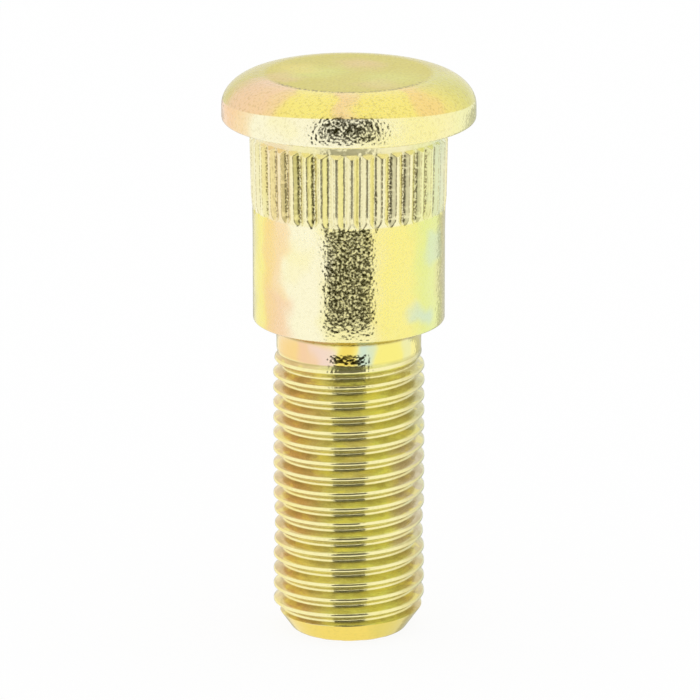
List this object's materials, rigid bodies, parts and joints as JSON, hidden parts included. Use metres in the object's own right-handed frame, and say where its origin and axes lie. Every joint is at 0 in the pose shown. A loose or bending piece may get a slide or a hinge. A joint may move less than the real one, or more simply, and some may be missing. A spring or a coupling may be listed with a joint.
{
  "type": "wheel stud",
  "caption": "Press-in wheel stud: low round head, serrated band under it, plain shank, neck and a fine right-hand thread with a pointed lead, yellow plated.",
  "frame": {"origin": "middle of the flat end face of the thread, on the stud's axis, which is the lowest point of the part", "axes": "+Z along the stud's axis from the thread's end towards the head; the part is round, so +X and +Y are free"},
  "size_m": [0.02, 0.02, 0.0453],
  "materials": {
    "plated_steel": "yellow chromate over zinc plating, satin with a fine blasted grain on the head's side and the plain shank"
  },
  "bodies": {
    "root": {"wheel_stud": "plated_steel"}
  },
  "joints": []
}
